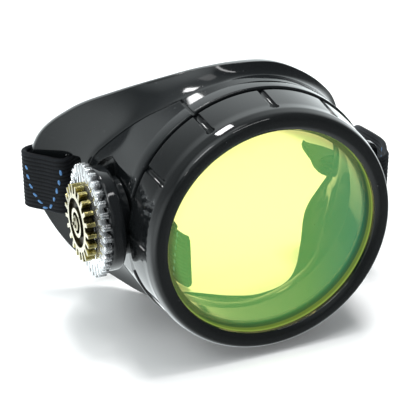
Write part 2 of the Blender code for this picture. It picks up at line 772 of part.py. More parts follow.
cup_shell(finish("black_plastic", (0.012, 0.014, 0.015), 0.12))
screw_ring(finish("ring_plastic", (0.012, 0.014, 0.015), 0.10))
tint_lens(finish("lens_tint", (0.80, 0.90, 0.25), 0.02))
lens_gasket(finish("gasket_rubber", (0.02, 0.02, 0.02), 0.7))
vent_knob(finish("knob_plastic", (0.014, 0.016, 0.018), 0.15))
vent_seal(finish("seal_rubber", (0.02, 0.02, 0.02), 0.7))
snap_stem(finish("stem_plastic", (0.02, 0.02, 0.02), 0.3))
chrome_gear(finish("chrome", (0.85, 0.86, 0.88), 0.12, 1.0))
brass_gear(finish("antique_brass", (0.45, 0.36, 0.16), 0.32, 1.0))
gear_rivet(finish("rivet_brass", (0.50, 0.42, 0.22), 0.30, 1.0))
temple_webbing(finish("temple_fabric", (0.012, 0.012, 0.014), 0.85))
nose_webbing(finish("nose_fabric", (0.012, 0.012, 0.014), 0.85))
back_elastic(finish("elastic_fabric", (0.012, 0.012, 0.014), 0.85))
strap_slider(finish("slider_plastic", (0.015, 0.015, 0.017), 0.35))
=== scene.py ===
import math

import bmesh
import bpy
from mathutils import Matrix, Vector, noise


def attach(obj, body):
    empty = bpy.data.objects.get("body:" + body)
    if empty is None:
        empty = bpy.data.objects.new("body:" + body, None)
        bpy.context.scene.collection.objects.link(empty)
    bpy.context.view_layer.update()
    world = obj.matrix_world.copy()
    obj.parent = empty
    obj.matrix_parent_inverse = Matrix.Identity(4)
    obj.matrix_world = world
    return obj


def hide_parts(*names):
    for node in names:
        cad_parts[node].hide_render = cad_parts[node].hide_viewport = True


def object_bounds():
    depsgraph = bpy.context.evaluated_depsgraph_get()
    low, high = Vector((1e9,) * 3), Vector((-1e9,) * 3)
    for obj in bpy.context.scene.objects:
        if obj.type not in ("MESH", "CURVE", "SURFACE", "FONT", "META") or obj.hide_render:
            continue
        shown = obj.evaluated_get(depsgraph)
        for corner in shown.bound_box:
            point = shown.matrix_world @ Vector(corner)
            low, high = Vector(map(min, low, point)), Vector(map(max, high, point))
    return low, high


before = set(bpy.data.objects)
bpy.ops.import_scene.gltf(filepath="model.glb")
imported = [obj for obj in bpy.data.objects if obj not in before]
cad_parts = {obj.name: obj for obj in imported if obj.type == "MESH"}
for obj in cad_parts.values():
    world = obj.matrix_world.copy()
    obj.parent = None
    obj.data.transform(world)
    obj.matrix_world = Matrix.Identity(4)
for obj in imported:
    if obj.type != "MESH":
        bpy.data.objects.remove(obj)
cadLow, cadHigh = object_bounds()
print("frame loaded:", len(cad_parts), "nodes")

mm = 0.001
weld = 0.002 * mm

# Turned pieces are drawn along local +Z: forwards out of the lens, and outwards on the vent
lensAxis = Matrix.Rotation(math.radians(90), 4, "X")
ventCentre = 20
ventAxis = Matrix.Translation((0, ventCentre * mm, 0)) @ Matrix.Rotation(math.radians(-90), 4, "Y")


# Camera at the photo's angle
cameraSetup = {
    "place": (-104.4 * mm, -220.6 * mm, 131.1 * mm),
    "right": (0.926, -0.377, 0.0),
    "back": (-0.335, -0.824, 0.457),
    "lens": 112.5,
    "near": 0.01,
    "far": 20.0,
}


def placeCamera(setup):
    data = bpy.data.cameras.new("photoCamera")
    data.lens = setup["lens"]
    data.clip_start = setup["near"]
    data.clip_end = setup["far"]
    camera = bpy.data.objects.new("photoCamera", data)
    bpy.context.scene.collection.objects.link(camera)
    back = Vector(setup["back"]).normalized()
    right = Vector(setup["right"])
    right = (right - back * right.dot(back)).normalized()
    up = back.cross(right)
    turn = Matrix((right, up, back)).transposed().to_4x4()
    camera.matrix_world = Matrix.Translation(setup["place"]) @ turn
    bpy.context.scene.camera = camera


placeCamera(cameraSetup)


# Node helpers
def link(tree, source, target):
    tree.links.new(source, target)


def setInputs(node, values):
    for name, value in values.items():
        node.inputs[name].default_value = value


def plainShader(name):
    made = bpy.data.materials.new(name)
    made.use_nodes = True
    return made, made.node_tree, made.node_tree.nodes["Principled BSDF"]


def objectPlace(tree):
    return tree.nodes.new("ShaderNodeTexCoord").outputs["Object"]


def noiseNode(tree, vector, scale, detail, rough):
    node = tree.nodes.new("ShaderNodeTexNoise")
    setInputs(node, {"Scale": scale, "Detail": detail, "Roughness": rough})
    link(tree, vector, node.inputs["Vector"])
    return node.outputs["Fac"]


def rangeNode(tree, value, fromLow, fromHigh, toLow=0.0, toHigh=1.0):
    node = tree.nodes.new("ShaderNodeMapRange")
    setInputs(node, {"From Min": fromLow, "From Max": fromHigh, "To Min": toLow, "To Max": toHigh})
    link(tree, value, node.inputs["Value"])
    return node.outputs["Result"]


def mathNode(tree, operation, first, second=None):
    node = tree.nodes.new("ShaderNodeMath")
    node.operation = operation
    for socket, value in zip(node.inputs, (first, second)):
        if value is None:
            continue
        if isinstance(value, (int, float)):
            socket.default_value = value
        else:
            link(tree, value, socket)
    return node.outputs["Value"]


def splitNode(tree, vector):
    node = tree.nodes.new("ShaderNodeSeparateXYZ")
    link(tree, vector, node.inputs[0])
    return node.outputs


def radiusNode(tree, first, second):
    squares = (mathNode(tree, "MULTIPLY", side, side) for side in (first, second))
    return mathNode(tree, "SQRT", mathNode(tree, "ADD", *squares))


def attributeNode(tree, name):
    node = tree.nodes.new("ShaderNodeAttribute")
    node.attribute_name = name
    return node.outputs["Fac"]


def mixColour(tree, factor, first, second):
    node = tree.nodes.new("ShaderNodeMix")
    node.data_type = "RGBA"
    link(tree, factor, node.inputs["Factor"])
    for socket, value in ((node.inputs["A"], first), (node.inputs["B"], second)):
        if isinstance(value, tuple):
            socket.default_value = (*value, 1)
        else:
            link(tree, value, socket)
    return node.outputs["Result"]


def addBump(tree, shader, height, bump, edge=0.0, samples=6):
    # Bump is its strength and height; edge is the radius that edges seem to be rounded by
    strength, distance = bump
    node = tree.nodes.new("ShaderNodeBump")
    setInputs(node, {"Strength": strength, "Distance": distance})
    link(tree, height, node.inputs["Height"])
    if edge:
        soft = tree.nodes.new("ShaderNodeBevel")
        soft.samples = samples
        soft.inputs["Radius"].default_value = edge
        link(tree, soft.outputs["Normal"], node.inputs["Normal"])
    link(tree, node.outputs["Normal"], shader.inputs["Normal"])


# Studio: white floor, a tent that is bright behind and dim in front, and softboxes
studio = {
    "floor": (0.92, 0.92, 0.92),
    "floorGlow": 0.09,
    "floorSize": 3.0,
    "floorDrop": 0.05 * mm,
    "floorRough": 0.7,
    "floorShine": 0.2,
    "tint": (0.93, 1.0, 1.01),
    "dim": 0.14,
    # Azimuth from the lens's side towards +X, elevation, bright to, faded by, level
    "panels": (
        (163, 8, 10, 55, 1.45),
        (-172, 52, 5, 46, 0.35),
        (-125, 0, 5, 50, 0.20),
        (-82, -4, 5, 38, 0.55),
        (-78, 56, 5, 34, 1.70),
        (-20, 30, 5, 30, 0.30),
        (-95, -50, 15, 70, 0.90),
        (170, -40, 15, 70, 1.00),
        (40, -50, 15, 60, 0.12),
    ),
    # Direction, distance, size, radiance, and whether glossy surfaces mirror it
    "lights": (
        ("overBox", (-0.10, 0.17, 0.98), 0.8, (0.16, 0.16), 1.5, True),
        ("backLamp", (-0.178, 0.548, 0.817), 1.0, (0.19, 0.11), 24.0, True),
        ("leftBox", (-0.56, -0.24, 0.79), 1.0, (0.22, 0.30), 5.0, True),
        ("frontStrip", (0.06, -0.25, 0.96), 0.9, (0.42, 0.08), 9.0, True),
        ("smallLamp", (-0.69, -0.52, 0.50), 1.2, (0.08, 0.08), 12.0, True),
        ("floorLamp", (0.10, 0.01, 0.99), 1.3, (0.34, 0.34), 33.5, False),
    ),
}


def addSoftbox(name, towards, distance, size, radiance, mirrored):
    data = bpy.data.lights.new(name, "AREA")
    data.shape = "RECTANGLE"
    data.size = size[0]
    data.size_y = size[1]
    data.energy = radiance * math.pi * size[0] * size[1]
    light = bpy.data.objects.new(name, data)
    bpy.context.scene.collection.objects.link(light)
    light.location = Vector(towards).normalized() * distance
    light.rotation_euler = Vector(towards).to_track_quat("Z", "Y").to_euler()
    light.visible_glossy = mirrored


def buildStudio(setup):
    size = setup["floorSize"]
    mesh = bpy.data.meshes.new("studioFloor")
    corners = [(-size, -size, 0), (size, -size, 0), (size, size, 0), (-size, size, 0)]
    mesh.from_pydata(corners, [], [(0, 1, 2, 3)])
    floor = bpy.data.objects.new("studioFloor", mesh)
    bpy.context.scene.collection.objects.link(floor)
    floor.location.z = cadLow.z - setup["floorDrop"]
    made, tree, shader = plainShader("floorPaper")
    setInputs(shader, {"Base Color": (*setup["floor"], 1), "Roughness": setup["floorRough"],
                       "Specular IOR Level": setup["floorShine"], "Emission Color": (1, 1, 1, 1),
                       "Emission Strength": setup["floorGlow"]})
    mesh.materials.append(made)
    floor.visible_glossy = False  # gloss mirrors the tent's lower half in its place

    world = bpy.data.worlds.new("studioTent")
    bpy.context.scene.world = world
    world.use_nodes = True
    tree = world.node_tree
    background = tree.nodes["Background"]
    direction = tree.nodes.new("ShaderNodeTexCoord").outputs["Generated"]
    level = setup["dim"]
    for azimuth, elevation, inner, outer, bright in setup["panels"]:
        az = math.radians(azimuth)
        el = math.radians(elevation)
        facing = tree.nodes.new("ShaderNodeVectorMath")
        facing.operation = "DOT_PRODUCT"
        link(tree, direction, facing.inputs[0])
        facing.inputs[1].default_value = (math.sin(az) * math.cos(el), -math.cos(az) * math.cos(el),
                                          math.sin(el))
        fade = rangeNode(tree, facing.outputs["Value"], math.cos(math.radians(outer)),
                         math.cos(math.radians(inner)), 0.0, bright)
        fade.node.interpolation_type = "SMOOTHSTEP"
        level = mathNode(tree, "ADD", fade, level)
    link(tree, level, background.inputs["Strength"])
    background.inputs["Color"].default_value = (*setup["tint"], 1)
    for light in setup["lights"]:
        addSoftbox(*light)
    bpy.context.scene.view_settings.view_transform = "Standard"


buildStudio(studio)
print("studio ready")


# Mesh helpers, all in millimetres until the mesh is made
def meshFrom(name, points, faces):
    mesh = bpy.data.meshes.new(name)
    mesh.from_pydata([Vector(point) * mm for point in points], [], faces)
    mesh.update()
    return mesh


def addObject(name, mesh):
    made = bpy.data.objects.new(name, mesh)
    bpy.context.scene.collection.objects.link(made)
    return made


def turnOutwards(mesh, matrix=Matrix(), gap=0.0, dissolve=False):
    # Doubled points merged, the mesh moved by the matrix, and its faces turned outwards
    solid = bmesh.new()
    solid.from_mesh(mesh)
    if gap:
        bmesh.ops.remove_doubles(solid, verts=solid.verts, dist=gap)
    if dissolve:
        bmesh.ops.dissolve_degenerate(solid, edges=solid.edges, dist=gap / 10)
    bmesh.ops.recalc_face_normals(solid, faces=solid.faces)
    bmesh.ops.transform(solid, matrix=matrix, verts=solid.verts)
    solid.to_mesh(mesh)
    solid.free()


def settle(piece):
    # Modifiers applied and the cutters' work kept in the mesh
    bpy.context.view_layer.update()
    solid = bpy.data.meshes.new_from_object(piece.evaluated_get(bpy.context.evaluated_depsgraph_get()))
    piece.modifiers.clear()
    piece.data = solid


def carve(piece, other, operation):
    step = piece.modifiers.new(operation.lower(), "BOOLEAN")
    step.operation = operation
    step.solver = "MANIFOLD"
    step.object = other
    settle(piece)
    bpy.data.objects.remove(other)


def smoothPiece(piece, angle=30.0):
    piece.data.shade_smooth()
    piece.data.set_sharp_from_angle(angle=math.radians(angle))


def dressPiece(piece, material, body, slot, *nodes):
    piece.data.materials.clear()
    piece.data.materials.append(material)
    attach(piece, body)
    if nodes:
        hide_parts(*nodes)
    return piece


def dressNode(nodeName, material, angle=32.0, rounding=0.0):
    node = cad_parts[nodeName]
    node.data.materials.clear()
    node.data.materials.append(material)
    smoothPiece(node, angle)
    if rounding:
        edge = node.modifiers.new("roundedEdges", "BEVEL")
        edge.width = rounding
        edge.segments = 3
        edge.angle_limit = math.radians(angle)
        edge.harden_normals = True


def smoothLine(points, steps):
    # Catmull-Rom through points of any dimension
    points = [tuple(point) for point in points]
    first = tuple(2 * a - b for a, b in zip(points[0], points[1]))
    last = tuple(2 * a - b for a, b in zip(points[-1], points[-2]))
    ends = [first] + points + [last]
    line = []
    for before, here, after, beyond in zip(ends, ends[1:], ends[2:], ends[3:]):
        for k in range(steps):
            t = k / steps
            line.append(tuple(0.5 * (2 * b + (c - a) * t + (2 * a - 5 * b + 4 * c - d) * t**2
                                     + (3 * b - a - 3 * c + d) * t**3)
                              for a, b, c, d in zip(before, here, after, beyond)))
    return line + [points[-1]]


def roundedOutline(corners, steps=4, closed=True):
    # Corners are (x, y, how far the rounding reaches)
    line = []
    count = len(corners)
    most = 0.48  # share of a side that one rounding may take
    for k, (x, y, reach) in enumerate(corners):
        here = Vector((x, y))
        if not reach or (not closed and k in (0, count - 1)):
            line.append((x, y))
            continue
        before = Vector(corners[k - 1][:2]) - here
        after = Vector(corners[(k + 1) % count][:2]) - here
        start = here + before.normalized() * min(reach, before.length * most)
        end = here + after.normalized() * min(reach, after.length * most)
        for i in range(steps + 1):
            t = i / steps
            spot = start * (1 - t)**2 + here * 2 * t * (1 - t) + end * t**2
            line.append((spot.x, spot.y))
    return line


def loopFaces(rings, rows):
    # Faces between closed rings of points, the last ring joined to the first
    faces = []
    for i in range(rings):
        here, after = i * rows, (i + 1) % rings * rows
        faces += [(here + k, here + (k + 1) % rows, after + (k + 1) % rows, after + k) for k in range(rows)]
    return faces


def tubeFaces(rings, rows, first=0):
    # The same from the point numbered first, with a face over each end instead
    faces = []
    for i in range(rings - 1):
        here = first + i * rows
        after = here + rows
        faces += [(here + k, here + (k + 1) % rows, after + (k + 1) % rows, after + k) for k in range(rows)]
    faces.append(tuple(first + k for k in reversed(range(rows))))
    faces.append(tuple(first + (rings - 1) * rows + k for k in range(rows)))
    return faces


def lathe(name, outline, matrix, columns=192):
    # Closed outline of (radius, height), swept round local Z
    points = []
    for i in range(columns):
        turn = 2 * math.pi * i / columns
        points += [(r * math.cos(turn), r * math.sin(turn), h) for r, h in outline]
    mesh = meshFrom(name, points, loopFaces(columns, len(outline)))
    turnOutwards(mesh, matrix, weld, dissolve=True)
    return addObject(name, mesh)


def plate(name, outlines, thickness, matrix, edge=0.15, resolution=2):
    # Flat piece cut to closed outlines in millimetres, from local Z zero up
    shape = bpy.data.curves.new(name, "CURVE")
    shape.dimensions = "2D"
    shape.fill_mode = "BOTH"
    shape.extrude = (thickness / 2 - edge) * mm
    shape.bevel_depth = edge * mm
    shape.bevel_resolution = resolution
    shape.offset = -edge * mm
    for outline in outlines:
        spline = shape.splines.new("POLY")
        spline.points.add(len(outline) - 1)
        spline.use_cyclic_u = True
        for point, (x, y) in zip(spline.points, outline):
            point.co = (x * mm, y * mm, 0, 1)
    drawn = addObject(name + ".outline", shape)
    bpy.context.view_layer.update()
    mesh = bpy.data.meshes.new_from_object(drawn.evaluated_get(bpy.context.evaluated_depsgraph_get()))
    bpy.data.objects.remove(drawn)
    turnOutwards(mesh, matrix @ Matrix.Translation((0, 0, thickness / 2 * mm)), weld / 4)
    return addObject(name, mesh)


# Gloss plastic for the cup, the ring and the knob
def makeGloss(name, look):
    made, tree, shader = plainShader(name)
    place = objectPlace(tree)
    blotches = noiseNode(tree, place, *look["blotches"])
    specks = noiseNode(tree, place, *look["specks"])
    wearAndRibShade = rangeNode(tree, specks, *look["speckRange"])
    link(tree, mixColour(tree, wearAndRibShade, look["colour"], look["dust"]), shader.inputs["Base Color"])
    shader.inputs["IOR"].default_value = look["ior"]
    rough = rangeNode(tree, blotches, *look["blotchRange"], *look["rough"])
    dusty = mathNode(tree, "MULTIPLY", wearAndRibShade, look["dustRough"])
    link(tree, mathNode(tree, "ADD", rough, dusty), shader.inputs["Roughness"])
    addBump(tree, shader, noiseNode(tree, place, *look["ripples"]), look["rippleBump"], look["edge"])
    return made


# Each noise in a look is its scale, detail and roughness; each bump its strength and height
cupLook = {
    "colour": (0.0085, 0.0100, 0.0110), "dust": (0.05, 0.052, 0.055), "ior": 1.5,
    "blotches": (60.0, 4.0, 0.6), "blotchRange": (0.3, 0.75), "rough": (0.07, 0.15),
    "specks": (900.0, 2.0, 0.7), "speckRange": (0.70, 0.76), "dustRough": 0.15,
    "ripples": (110.0, 2.0, 0.4), "rippleBump": (0.10, 0.1 * mm), "edge": 0.22 * mm,
}
ringLook = dict(cupLook, colour=(0.0065, 0.0075, 0.0080), dust=(0.04, 0.042, 0.044), rough=(0.03, 0.07),
                blotches=(90.0, 4.0, 0.6), speckRange=(0.72, 0.78), ripples=(150.0, 2.0, 0.4),
                rippleBump=(0.04, 0.1 * mm), edge=0.16 * mm)
knobLook = dict(ringLook, colour=(0.007, 0.008, 0.009), rough=(0.04, 0.10))
cupPlastic = makeGloss("cupPlastic", cupLook)
ringPlastic = makeGloss("ringPlastic", ringLook)
knobPlastic = makeGloss("knobPlastic", knobLook)


# Eye cup: one closed section lofted round the lens axis; radius and depth in mm
cupShape = {
    "columns": 288,
    "wall": 1.8,
    "spigot": 26.4, "spigotFront": 3.8,
    "collar": 29.3, "collarFront": 10.3, "collarRear": 13.7, "collarRound": 0.03,
    "rimReach": 40.4, "cupDepth": 45.0,
    "lipReach": 4.8, "lipDepth": 1.4,
    "creaseDeep": 0.55, "creaseWide": 0.62, "creaseFrom": 117.5, "creaseTo": 170, "creaseFade": 2.5,
    "hookTurn": 118.4,
    # Inner edge of the cheek: share of the flange, and how far the wall swells there
    "bead": ((0.0, 0.0), (0.2, 0.0), (0.36, -0.35), (0.55, -0.55), (0.7, -0.35), (0.8, 0.05), (0.9, 0.4),
             (1.0, 0.4)),
    "beadFrom": 190, "beadTo": 350, "beadFade": 12,
    "flareCurve": 1.5,
    # On the brow's nose side the flange turns outwards late and faces forwards
    "browCurve": 3.4, "browFrom": 12, "browTo": 100, "browFade": 20,
    "wallStations": (0.0, 0.2, 0.4, 0.6, 0.8, 0.9, 0.96),
    "flareStations": (0.0, 0.015, 0.04, 0.08, 0.14, 0.2, 0.28, 0.36, 0.45, 0.55, 0.65, 0.75, 0.85, 0.93,
                      1.0),
    "valleySweeps": 3, "stepRound": 0.5, "collarEdge": 0.45, "rearEdge": 0.1,
    # One value every 15 degrees, from the nose side over the brow, the temple and the cheek
    "rimRadius": (.738, .755, .788, .776, .776, .790, .787, .790, .800, .834, .911, .990,
                  1.0, .957, .916, .868, .829, .751, .725, .751, .765, .735, .705, .710),
    "rimDepth": (.569, .580, .589, .516, .458, .420, .418, .467, .562, .696, .844, .966,
                 1.0, .968, .893, .836, .667, .533, .433, .411, .409, .455, .610, .620),
    "valleyRadius": (.940, .960, .990, 1.0, 1.0, 1.005, 1.007, 1.012, 1.020, 1.005, .997, 1.034,
                     1.041, 1.041, 1.031, 1.010, .990, .973, .962, .962, .962, .956, .942, .928),
    "valleyDepth": (.440, .420, .400, .372, .356, .348, .347, .352, .378, .502, .636, .747,
                    .773, .751, .711, .640, .520, .420, .370, .355, .355, .370, .430, .450),
    "lipWidth": (.13, .13, .13, .13, .13, .13, .13, .13, .13, .13, .13, .08,
                 .08, .08, .13, .13, .13, .13, .13, .13, .20, .60, .30, .13),
    # Side vent: how far out its seat lies, and the round recess round it
    "seatReach": 27.0, "seatRadius": 13.0, "seatBorder": 1.2, "seatThick": 1.8, "bore": 4.6,
    # Strap slots
    "slotWidth": 14.8, "slotStart": 1.5, "barWidth": 8.6,
    "slotDeep": 10.0, "slotCorner": 0.8,
    "earRoot": 27.015, "earReach": 38.215, "earHeight": 19.0, "earDrop": 4.5, "earThick": 2.2,
    "earCorner": 3.0, "earEdge": 0.4, "earBar": 3.4, "earSlot": 5.0, "earSlotCorner": 0.75,
    # How far the cutters stand over what they cut, the size of the largest, and their edges
    "overlap": 0.5, "hookOver": 2.0, "cutterSize": 60.0, "cutterEdge": 0.05, "hookEdge": 0.02,
}


def ringValue(values, turn):
    # Smooth curve through values spaced evenly round the circle
    place = turn / (2 * math.pi) * len(values)
    first = math.floor(place)
    t = place - first
    a, b, c, d = (values[(first + k) % len(values)] for k in (-1, 0, 1, 2))
    return ((2 * t**3 - 3 * t**2 + 1) * b + (t**3 - 2 * t**2 + t) * (c - a) / 2
            + (-2 * t**3 + 3 * t**2) * c + (t**3 - t**2) * (d - b) / 2)


def cupRim(shape, turn):
    return (shape["rimReach"] * ringValue(shape["rimRadius"], turn),
            shape["cupDepth"] * ringValue(shape["rimDepth"], turn))


def cupValley(shape, turn):
    return (shape["collar"] * ringValue(shape["valleyRadius"], turn),
            shape["cupDepth"] * ringValue(shape["valleyDepth"], turn))


def windowed(degrees, low, high, fade):
    return min(max(min((degrees - low) / fade, (high - degrees) / fade), 0), 1)


def valueAt(table, place):
    for (a, first), (b, second) in zip(table, table[1:]):
        if place <= b:
            return first + (second - first) * max(place - a, 0) / (b - a)
    return table[-1][1]


def cupSection(shape, turn):
    valley = cupValley(shape, turn)
    rim = cupRim(shape, turn)
    collar, spigot = shape["collar"], shape["spigot"]
    shoulder = (collar - shape["collarRound"], shape["collarRear"])
    outer = [tuple(a + (b - a) * share for a, b in zip(shoulder, valley))
             for share in shape["wallStations"]]
    degrees = math.degrees(turn)
    brow = windowed(degrees, shape["browFrom"], shape["browTo"], shape["browFade"])
    curve = shape["flareCurve"] + (shape["browCurve"] - shape["flareCurve"]) * brow
    for share in shape["flareStations"]:
        flare = share**curve
        outer.append((valley[0] + (rim[0] - valley[0]) * flare,
                      valley[1] + (rim[1] - valley[1]) * share))
    # The valley softened over its neighbours, with a fine crease along it on the brow side
    middle = len(shape["wallStations"])
    for _ in range(shape["valleySweeps"]):
        for k in range(middle - 2, middle + 3):
            before, here, after = outer[k - 1:k + 2]
            outer[k] = tuple(0.25 * a + 0.5 * b + 0.25 * c for a, b, c in zip(before, here, after))
    crease = windowed(degrees, shape["creaseFrom"], shape["creaseTo"], shape["creaseFade"])
    bead = windowed(degrees, shape["beadFrom"], shape["beadTo"], shape["beadFade"])
    inner = []
    for k, (radius, depth) in enumerate(outer):
        share = shape["flareStations"][k - middle] if k >= middle else 0
        wall = shape["wall"] + bead * valueAt(shape["bead"], share)
        before = outer[max(k - 1, 0)]
        after = outer[min(k + 1, len(outer) - 1)]
        across = after[0] - before[0]
        back = after[1] - before[1]
        length = math.hypot(across, back)
        inner.append((radius - wall * back / length, depth + wall * across / length))
    wall = shape["wall"]
    bottom = Vector(outer[middle])
    for k in (middle - 1, middle + 1):
        away = Vector(outer[k]) - bottom
        outer[k] = tuple(bottom + away.lerp(away.normalized() * shape["creaseWide"] / 2, crease))
    outer[middle] = (bottom.x - shape["creaseDeep"] * crease, bottom.y)
    share = ringValue(shape["lipWidth"], turn)
    deep = shape["lipDepth"] * math.sqrt(share)
    edge = inner[-1]
    lip = (edge[0] - shape["lipReach"] * share, edge[1])
    # The rim's rolled edge, in shares of the lip's depth
    cap = [outer[-2], outer[-1], (outer[-1][0] - deep * 0.25, edge[1] + deep * 0.6),
           ((outer[-1][0] + edge[0]) / 2, edge[1] + deep), (lip[0] + deep * 0.25, lip[1] + deep * 0.9),
           lip]
    rolled = smoothLine(cap, 4)[5:]
    step = (spigot + collar) / 2
    start, face = shape["spigotFront"], shape["collarFront"]
    front = roundedOutline([(spigot - wall, start + 1, 0), (spigot - wall, start, 0),
                            (spigot, start, shape["stepRound"]), (spigot, face, 0), (step, face, 0),
                            (collar, face, shape["collarEdge"]),
                            (collar, shape["collarRear"], shape["rearEdge"]), (*shoulder, 0)], 4, False)[2:-1]
    rear = [(collar - wall, face + wall), (step - wall, face + wall), (spigot - wall, face + wall),
            (spigot - wall, start)]
    return front + outer + rolled + list(reversed(inner)) + rear


def buildCup(shape):
    columns = shape["columns"]
    points = []
    for i in range(columns):
        turn = 2 * math.pi * i / columns
        section = cupSection(shape, turn)
        points += [(r * math.cos(turn), depth, r * math.sin(turn)) for r, depth in section]
    cup = addObject("cupShell", meshFrom("cupShell", points, loopFaces(columns, len(section))))

    # Pad, recess and bore of the side vent
    far = shape["rimReach"]
    padRadius = shape["seatRadius"] + shape["seatBorder"]
    padLow = shape["seatReach"] - shape["seatThick"]
    pad = lathe("ventPad", [(0, padLow), (0, far), (padRadius, far), (padRadius, padLow)], ventAxis,
                columns=128)
    within = shape["collar"] - shape["wall"] / 2
    front = -shape["collarFront"] - shape["overlap"]
    rear = -shape["cupDepth"]
    trim = lathe("padTrim", [(0, front), (within, front), (within, rear), (0, rear)], lensAxis)
    carve(pad, trim, "INTERSECT")
    carve(cup, pad, "UNION")
    recess = lathe("ventRecess", [(0, shape["seatReach"]), (0, far), (shape["seatRadius"], far),
                                  (shape["seatRadius"], shape["seatReach"])], ventAxis, columns=128)
    big = shape["cutterSize"]
    behind = Matrix.Translation((0, (cupValley(shape, math.pi)[1] + big) * mm, 0)) @ lensAxis
    keep = plate("recessTrim", [[(-big, -big), (0, -big), (0, big), (-big, big)]], big, behind,
                 shape["cutterEdge"], 0)
    carve(recess, keep, "DIFFERENCE")
    carve(cup, recess, "DIFFERENCE")
    deep = padLow - shape["slotDeep"]
    hole = shape["bore"]
    bore = lathe("ventBore", [(0, deep), (0, far), (hole, far), (hole, deep)], ventAxis, columns=64)
    carve(cup, bore, "DIFFERENCE")

    # The crease hooks forwards to the screw ring
    hook = math.radians(shape["hookTurn"])
    valley = cupValley(shape, hook)
    deep = shape["creaseDeep"]
    over = shape["hookOver"]
    start = shape["collarFront"] - shape["overlap"]
    stand = Matrix.Rotation(-hook, 4, "Y") @ Matrix.Translation((0, 0, -shape["creaseWide"] / 2 * mm))
    outline = [(shape["collar"] - deep, start), (shape["collar"] + over, start),
               (valley[0] + over, valley[1]), (valley[0] - deep, valley[1])]
    slit = plate("creaseHook", [outline], shape["creaseWide"], stand, shape["hookEdge"], 0)
    carve(cup, slit, "DIFFERENCE")

    # Temple slot through the flange
    rim = cupRim(shape, math.pi)
    valley = cupValley(shape, math.pi)
    run = Vector((valley[0] - rim[0], rim[1] - valley[1], 0))
    slope = (Matrix.Translation((-valley[0] * mm, valley[1] * mm, 0))
             @ Matrix.Rotation(math.atan2(run.y, run.x), 4, "Z") @ lensAxis
             @ Matrix.Translation((0, 0, -shape["slotDeep"] / 2 * mm)))
    half = shape["slotWidth"] / 2
    corner = shape["slotCorner"]
    end = run.length - shape["barWidth"]
    start = shape["slotStart"]
    slot = roundedOutline([(start, -half, corner), (end, -half, corner), (end, half, corner),
                           (start, half, corner)])
    opening = plate("templeSlot", [slot], shape["slotDeep"], slope, shape["cutterEdge"], 0)
    carve(cup, opening, "DIFFERENCE")

    # Nose ear with its slot
    ear = Matrix.Translation((0, cupRim(shape, 0.0)[1] * mm, -shape["earDrop"] * mm)) @ lensAxis
    high = shape["earHeight"] / 2
    reach = shape["earReach"]
    root = shape["earRoot"]
    corner = shape["earCorner"]
    outer = roundedOutline([(root, -high, corner), (reach, -high, corner), (reach, high, corner),
                            (root, high, corner)], steps=8)
    end = reach - shape["earBar"]
    start = end - shape["earSlot"]
    corner = shape["earSlotCorner"]
    inner = roundedOutline([(start, -half, corner), (end, -half, corner), (end, half, corner),
                            (start, half, corner)])
    carve(cup, plate("noseEar", [outer, inner], shape["earThick"], ear, shape["earEdge"], 4), "UNION")
    smoothPiece(cup, angle=28)
    return cup


dressPiece(buildCup(cupShape), cupPlastic, "cup", "black_plastic", "cup_shell")
print("eye cup made")


# Screw ring with its finger grooves
ringShape = {
    "columns": 360,
    "outline": ((24.0, 0.3, 0), (24.0, 1.2, 0.3), (25.3, 2.0, 1.4), (26.9, 1.9, 0.9),
                (27.6, 1.0, 0.9), (28.05, -1.1, 0.35), (28.12, -3.0, 0.6), (28.9, -9.9, 0.5),
                (26.75, -9.9, 0.1), (26.75, -3.5, 0), (25.3, -3.5, 0), (25.3, 0.3, 0)),
    "grooves": 12, "grooveColumns": 40, "grooveTurn": 2.0, "grooveRadius": 0.76, "grooveLift": 0.1,
    "grooveFront": 2.5, "grooveEnd": 9.3, "frontRadius": 28.1, "taper": 0.11,
    "dimpleRadius": 1.02, "dimpleSteps": 8, "dimpleFrom": 0.7,
}


def buildRing(shape):
    ring = lathe("screwRing", roundedOutline(shape["outline"], steps=8), lensAxis, shape["columns"])
    dimple = shape["dimpleRadius"]
    steps = shape["dimpleSteps"]
    angles = [math.pi / 2 * k / steps for k in range(steps + 1)]
    cutter = [(0, -shape["grooveEnd"]), (shape["grooveRadius"], -shape["grooveEnd"]),
              (shape["grooveRadius"], -dimple * shape["dimpleFrom"])]
    cutter += [(dimple * math.cos(a), dimple * math.sin(a)) for a in angles]
    merged = bmesh.new()
    for k in range(shape["grooves"]):
        turn = math.radians(90 - shape["grooveTurn"]) + 2 * math.pi * k / shape["grooves"]
        place = Vector((shape["frontRadius"] + shape["grooveLift"], shape["grooveFront"], 0)) * mm
        stand = (Matrix.Rotation(-turn, 4, "Y") @ Matrix.Translation(place)
                 @ Matrix.Rotation(-shape["taper"], 4, "Z") @ lensAxis)
        groove = lathe("groove%02d" % k, cutter, stand, shape["grooveColumns"])
        merged.from_mesh(groove.data)
        bpy.data.objects.remove(groove)
    mesh = bpy.data.meshes.new("grooves")
    merged.to_mesh(mesh)
    merged.free()
    carve(ring, addObject("grooves", mesh), "DIFFERENCE")
    smoothPiece(ring, angle=28)
    return ring


dressPiece(buildRing(ringShape), ringPlastic, "ring", "ring_plastic", "screw_ring")
print("screw ring made")


# Lens and gasket
lensLook = {"through": (0.97, 0.86, 0.30), "ior": 1.49, "level": 0.5,
            "smears": (70.0, 5.0, 0.6), "smearRange": (0.55, 0.85), "rough": (0.0, 0.05),
            # Emission paints a glow in place of the lens's green reflection of the floor: less over the
            # gasket, a painted highlight at its cut edge; radii in mm
            "paintedGlow": (0.030, 0.130, 0.036), "fade": (21.4, 23.0, 0.25), "paintedEdgeHighlight": (0.09, 0.13, 0.03),
            "edgeLine": (23.72, 23.95),
            # The painted glow turns blue-green towards the nose
            "cool": (0.006, 0.100, 0.062), "coolFrom": (9.0, 23.0)}


